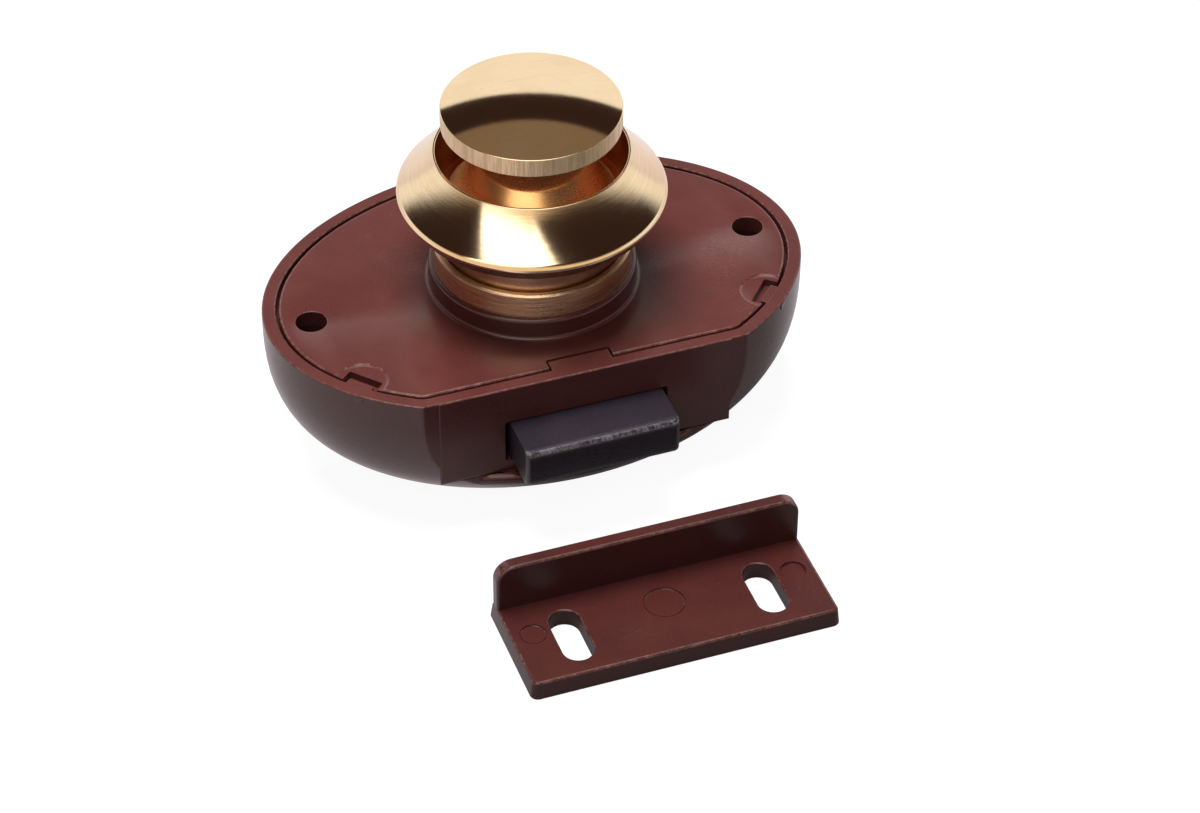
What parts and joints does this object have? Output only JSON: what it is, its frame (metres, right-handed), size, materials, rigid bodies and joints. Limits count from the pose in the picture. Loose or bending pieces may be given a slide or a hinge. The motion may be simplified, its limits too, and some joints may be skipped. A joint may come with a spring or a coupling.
{
  "type": "push button cabinet lock",
  "caption": "Push button cabinet lock: oval case with a snap-in cover, sprung bolt, flanged brass rosette round a domed brass button, and a separate slotted angle strike.",
  "frame": {"origin": "the button's axis, midway between the two screw holes, in the cover plate's outer face, which meets the door", "axes": "+Z out through the door along the button's axis, X along the case through both screw holes, -Y the way the bolt is thrown"},
  "size_m": [0.0694, 0.0767, 0.0471],
  "materials": {
    "brown_plastic": "satin, moulded",
    "strike_plastic": "satin, moulded",
    "black_plastic": "satin black, moulded",
    "inner_plastic": "natural acetal",
    "turned_brass": "turned and lacquered, bright",
    "spring_steel": "drawn wire and strip",
    "plated_steel": "zinc plated"
  },
  "bodies": {
    "lock": {"case": "brown_plastic", "cover_plate": "brown_plastic", "threaded_sleeve": "turned_brass", "sleeve_circlip": "spring_steel", "rosette": "turned_brass", "button_spring": "spring_steel", "bolt_spring_left": "spring_steel", "bolt_spring_right": "spring_steel", "spring_pin_left": "plated_steel", "spring_pin_right": "plated_steel", "catch_leaf": "spring_steel", "leaf_screw": "plated_steel", "strike_plate": "strike_plastic"},
    "button": {"button": "turned_brass", "plunger": "inner_plastic", "button_screw": "plated_steel", "screw_washer": "plated_steel"},
    "bolt": {"bolt": "black_plastic"},
    "catch": {"catch_wire": "spring_steel"}
  },
  "joints": [
    {"name": "button_press", "type": "slide", "parent": "lock", "child": "button", "axis": [0, 0, -1], "range_m": [0, 0.0065], "stiffness_N_per_m": 700, "springref_m": -0.006, "deforming": ["button_spring"]},
    {"name": "bolt_throw", "type": "slide", "parent": "lock", "child": "bolt", "axis": [0, 1, 0], "range_m": [0, 0.0065], "stiffness_N_per_m": 250, "springref_m": -0.004, "deforming": ["bolt_spring_left", "bolt_spring_right"]},
    {"name": "catch_swing", "type": "hinge", "parent": "lock", "child": "catch", "pos_m": [0, 0.0093, -0.0172], "axis": [0, 1, 0], "range_deg": [-15.7, 0]}
  ],
  "couplings": [
    {"joint": "bolt_throw", "follows": "button_press", "ratio": 1}
  ]
}
